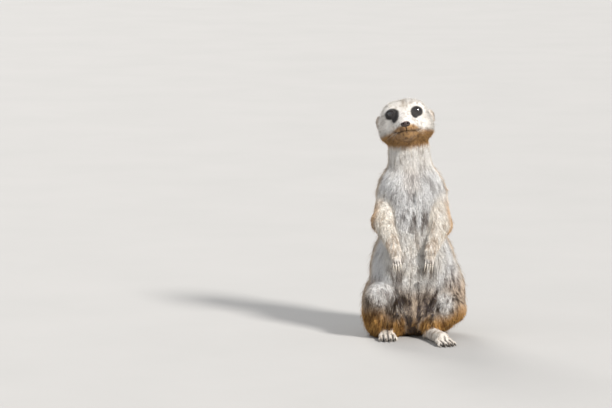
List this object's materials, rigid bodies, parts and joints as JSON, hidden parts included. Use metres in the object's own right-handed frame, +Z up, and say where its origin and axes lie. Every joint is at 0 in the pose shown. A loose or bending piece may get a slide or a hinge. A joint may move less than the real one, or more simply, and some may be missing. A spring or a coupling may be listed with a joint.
{
  "type": "life-size meerkat model",
  "caption": "Still, life-size museum model of a meerkat sitting upright on its haunches, arms hanging, head raised.",
  "frame": {"origin": "middle of the flat under the rump, on the floor", "axes": "+Z up, the animal looks along -Y, its own left side is +X, its tail lies along +Y"},
  "size_m": [0.1093, 0.299, 0.2497],
  "materials": {
    "face_coat": "short dense pale fur",
    "belly_coat": "thin soft grey-beige fur over dark skin",
    "back_coat": "grizzled tan-grey guard hair with dark cross bands",
    "cream_coat": "short cream fur",
    "buff_coat": "golden buff guard hair",
    "dark_coat": "short near-black fur",
    "nose": "moist fine-grained skin",
    "eye": "wet dark brown eye",
    "claw": "smooth dark horn"
  },
  "bodies": {
    "root": {"eye_right": "eye", "eye_left": "eye", "nose": "nose", "claw_hand_right_1": "claw", "claw_hand_right_2": "claw", "claw_hand_right_3": "claw", "claw_hand_right_4": "claw", "hand_right": "cream_coat", "forearm_right": "cream_coat", "upper_arm_right": "cream_coat", "claw_hand_left_1": "claw", "claw_hand_left_2": "claw", "claw_hand_left_3": "claw", "claw_hand_left_4": "claw", "hand_left": "cream_coat", "forearm_left": "cream_coat", "upper_arm_left": "cream_coat", "tail_root": "back_coat", "tail_middle": "back_coat", "tail_tip": "dark_coat", "claw_foot_right_1": "claw", "claw_foot_right_2": "claw", "claw_foot_right_3": "claw", "claw_foot_right_4": "claw", "foot_right": "cream_coat", "shank_right": "buff_coat", "thigh_right": "buff_coat", "claw_foot_left_1": "claw", "claw_foot_left_2": "claw", "claw_foot_left_3": "claw", "claw_foot_left_4": "claw", "foot_left": "cream_coat", "shank_left": "buff_coat", "thigh_left": "buff_coat", "abdomen": "belly_coat", "chest": "belly_coat", "ear_right": "dark_coat", "ear_left": "dark_coat", "head": "face_coat", "neck": "belly_coat"}
  },
  "joints": []
}
